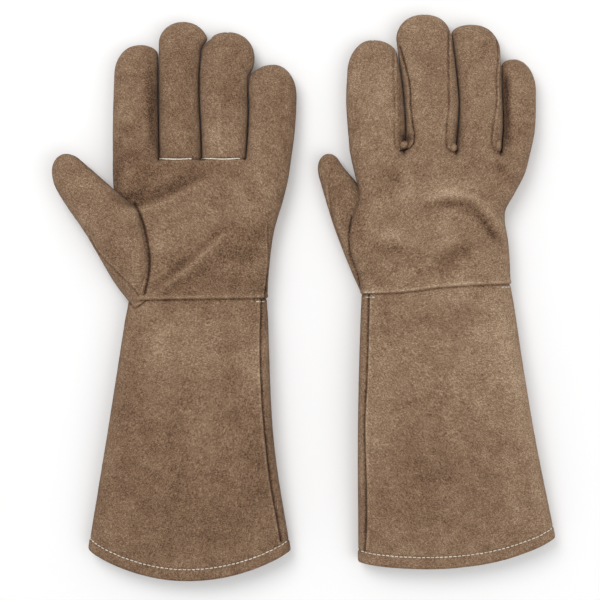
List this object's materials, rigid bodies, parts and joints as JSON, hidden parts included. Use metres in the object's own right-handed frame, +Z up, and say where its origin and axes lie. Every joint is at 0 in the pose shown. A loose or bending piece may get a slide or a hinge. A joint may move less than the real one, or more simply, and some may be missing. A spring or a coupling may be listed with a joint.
{
  "type": "welding gloves",
  "caption": "Pair of long split-leather welding gauntlets, lined, with flared cuffs, lying side by side, one palm up.",
  "frame": {"origin": "bottom centre of the pair's box, on the table", "axes": "+X from the left glove to the right glove, +Y from the cuffs to the fingertips, +Z up"},
  "size_m": [0.3648, 0.4111, 0.032],
  "materials": {
    "suede": "brushed split leather, matt",
    "welt": "cut edge of split leather",
    "fleece": "soft fleece lining",
    "canvas": "plain woven cotton",
    "thread": "heat-resistant sewing thread"
  },
  "bodies": {
    "left_hand": {"left_palm_panel": "suede", "left_back_panel": "suede", "left_thumb_root_leather": "suede", "left_hand_lining": "fleece", "left_finger_seam_thread": "thread"},
    "left_cuff": {"left_cuff_palm_panel": "suede", "left_cuff_back_panel": "suede", "left_cuff_side_welts": "welt", "left_cuff_lining": "canvas", "left_cuff_thread": "thread"},
    "left_index_base": {"left_index_base_leather": "suede", "left_index_base_lining": "fleece"},
    "left_index_tip": {"left_index_tip_leather": "suede", "left_index_tip_lining": "fleece"},
    "left_middle_base": {"left_middle_base_leather": "suede", "left_middle_base_lining": "fleece"},
    "left_middle_tip": {"left_middle_tip_leather": "suede", "left_middle_tip_lining": "fleece"},
    "left_ring_base": {"left_ring_base_leather": "suede", "left_ring_base_lining": "fleece"},
    "left_ring_tip": {"left_ring_tip_leather": "suede", "left_ring_tip_lining": "fleece"},
    "left_little_base": {"left_little_base_leather": "suede", "left_little_base_lining": "fleece"},
    "left_little_tip": {"left_little_tip_leather": "suede", "left_little_tip_lining": "fleece"},
    "left_thumb_base": {"left_thumb_base_leather": "suede", "left_thumb_base_lining": "fleece"},
    "left_thumb_tip": {"left_thumb_tip_leather": "suede", "left_thumb_tip_lining": "fleece"},
    "right_hand": {"right_palm_panel": "suede", "right_back_panel": "suede", "right_thumb_root_leather": "suede", "right_hand_lining": "fleece", "right_finger_seam_thread": "thread"},
    "right_cuff": {"right_cuff_palm_panel": "suede", "right_cuff_back_panel": "suede", "right_cuff_side_welts": "welt", "right_cuff_lining": "canvas", "right_cuff_thread": "thread"},
    "right_index_base": {"right_index_base_leather": "suede", "right_index_base_lining": "fleece"},
    "right_index_tip": {"right_index_tip_leather": "suede", "right_index_tip_lining": "fleece"},
    "right_middle_base": {"right_middle_base_leather": "suede", "right_middle_base_lining": "fleece"},
    "right_middle_tip": {"right_middle_tip_leather": "suede", "right_middle_tip_lining": "fleece"},
    "right_ring_base": {"right_ring_base_leather": "suede", "right_ring_base_lining": "fleece"},
    "right_ring_tip": {"right_ring_tip_leather": "suede", "right_ring_tip_lining": "fleece"},
    "right_little_base": {"right_little_base_leather": "suede", "right_little_base_lining": "fleece"},
    "right_little_tip": {"right_little_tip_leather": "suede", "right_little_tip_lining": "fleece"},
    "right_thumb_base": {"right_thumb_base_leather": "suede", "right_thumb_base_lining": "fleece"},
    "right_thumb_tip": {"right_thumb_tip_leather": "suede", "right_thumb_tip_lining": "fleece"}
  },
  "joints": [
    {"name": "right_glove_lift", "type": "slide", "parent": "left_hand", "child": "right_hand", "axis": [0, 0, 1], "range_m": [0, 0.15]},
    {"name": "left_wrist", "type": "hinge", "parent": "left_hand", "child": "left_cuff", "pos_m": [-0.07766, -0.00191, 0.013], "axis": [1, 0, 0], "range_deg": [-40, 40]},
    {"name": "left_index_knuckle", "type": "hinge", "parent": "left_hand", "child": "left_index_base", "pos_m": [-0.12316, 0.10809, 0.011], "axis": [1, -0.007, 0], "range_deg": [-10, 80]},
    {"name": "left_index_middle_joint", "type": "hinge", "parent": "left_index_base", "child": "left_index_tip", "pos_m": [-0.12293, 0.14109, 0.011], "axis": [1, -0.007, 0], "range_deg": [0, 90]},
    {"name": "left_middle_knuckle", "type": "hinge", "parent": "left_hand", "child": "left_middle_base", "pos_m": [-0.09009, 0.10809, 0.011], "axis": [0.9999, -0.0157, 0], "range_deg": [-10, 80]},
    {"name": "left_middle_middle_joint", "type": "hinge", "parent": "left_middle_base", "child": "left_middle_tip", "pos_m": [-0.08947, 0.14708, 0.011], "axis": [0.9999, -0.0157, 0], "range_deg": [0, 90]},
    {"name": "left_ring_knuckle", "type": "hinge", "parent": "left_hand", "child": "left_ring_base", "pos_m": [-0.05711, 0.10808, 0.011], "axis": [0.9995, -0.0314, 0], "range_deg": [-10, 80]},
    {"name": "left_ring_middle_joint", "type": "hinge", "parent": "left_ring_base", "child": "left_ring_tip", "pos_m": [-0.05598, 0.14406, 0.011], "axis": [0.9995, -0.0314, 0], "range_deg": [0, 90]},
    {"name": "left_little_knuckle", "type": "hinge", "parent": "left_hand", "child": "left_little_base", "pos_m": [-0.02522, 0.10808, 0.011], "axis": [0.9984, -0.0558, 0], "range_deg": [-10, 80]},
    {"name": "left_little_middle_joint", "type": "hinge", "parent": "left_little_base", "child": "left_little_tip", "pos_m": [-0.02376, 0.13403, 0.011], "axis": [0.9984, -0.0558, 0], "range_deg": [0, 90]},
    {"name": "left_thumb_knuckle", "type": "hinge", "parent": "left_hand", "child": "left_thumb_base", "pos_m": [-0.15697, 0.06858, 0.02], "axis": [0.8554, 0.518, 0], "range_deg": [-10, 60]},
    {"name": "left_thumb_tip_joint", "type": "hinge", "parent": "left_thumb_base", "child": "left_thumb_tip", "pos_m": [-0.16578, 0.08312, 0.02], "axis": [0.8554, 0.518, 0], "range_deg": [0, 70]},
    {"name": "right_wrist", "type": "hinge", "parent": "right_hand", "child": "right_cuff", "pos_m": [0.09564, 0.00609, 0.013], "axis": [1, 0, 0], "range_deg": [-40, 40]},
    {"name": "right_index_knuckle", "type": "hinge", "parent": "right_hand", "child": "right_index_base", "pos_m": [0.05144, 0.11459, 0.011], "axis": [-0.9997, -0.0244, 0], "range_deg": [-10, 80]},
    {"name": "right_index_middle_joint", "type": "hinge", "parent": "right_index_base", "child": "right_index_tip", "pos_m": [0.05066, 0.14658, 0.011], "axis": [-0.9997, -0.0244, 0], "range_deg": [0, 90]},
    {"name": "right_middle_knuckle", "type": "hinge", "parent": "right_hand", "child": "right_middle_base", "pos_m": [0.08972, 0.11458, 0.011], "axis": [-0.9996, -0.0279, 0], "range_deg": [-10, 80]},
    {"name": "right_middle_middle_joint", "type": "hinge", "parent": "right_middle_base", "child": "right_middle_tip", "pos_m": [0.08865, 0.15257, 0.011], "axis": [-0.9996, -0.0279, 0], "range_deg": [0, 90]},
    {"name": "right_ring_knuckle", "type": "hinge", "parent": "right_hand", "child": "right_ring_base", "pos_m": [0.12567, 0.11459, 0.011], "axis": [-1, -0.0087, 0], "range_deg": [-10, 80]},
    {"name": "right_ring_middle_joint", "type": "hinge", "parent": "right_ring_base", "child": "right_ring_tip", "pos_m": [0.12536, 0.14958, 0.011], "axis": [-1, -0.0087, 0], "range_deg": [0, 90]},
    {"name": "right_little_knuckle", "type": "hinge", "parent": "right_hand", "child": "right_little_base", "pos_m": [0.15523, 0.11459, 0.011], "axis": [-0.9997, 0.0244, 0], "range_deg": [-10, 80]},
    {"name": "right_little_middle_joint", "type": "hinge", "parent": "right_little_base", "child": "right_little_tip", "pos_m": [0.15584, 0.13958, 0.011], "axis": [-0.9997, 0.0244, 0], "range_deg": [0, 90]},
    {"name": "right_thumb_knuckle", "type": "hinge", "parent": "right_hand", "child": "right_thumb_base", "pos_m": [0.02815, 0.07286, 0.012], "axis": [-0.91, -0.4147, 0], "range_deg": [-10, 60]},
    {"name": "right_thumb_tip_joint", "type": "hinge", "parent": "right_thumb_base", "child": "right_thumb_tip", "pos_m": [0.02193, 0.0865, 0.012], "axis": [-0.91, -0.4147, 0], "range_deg": [0, 70]}
  ]
}
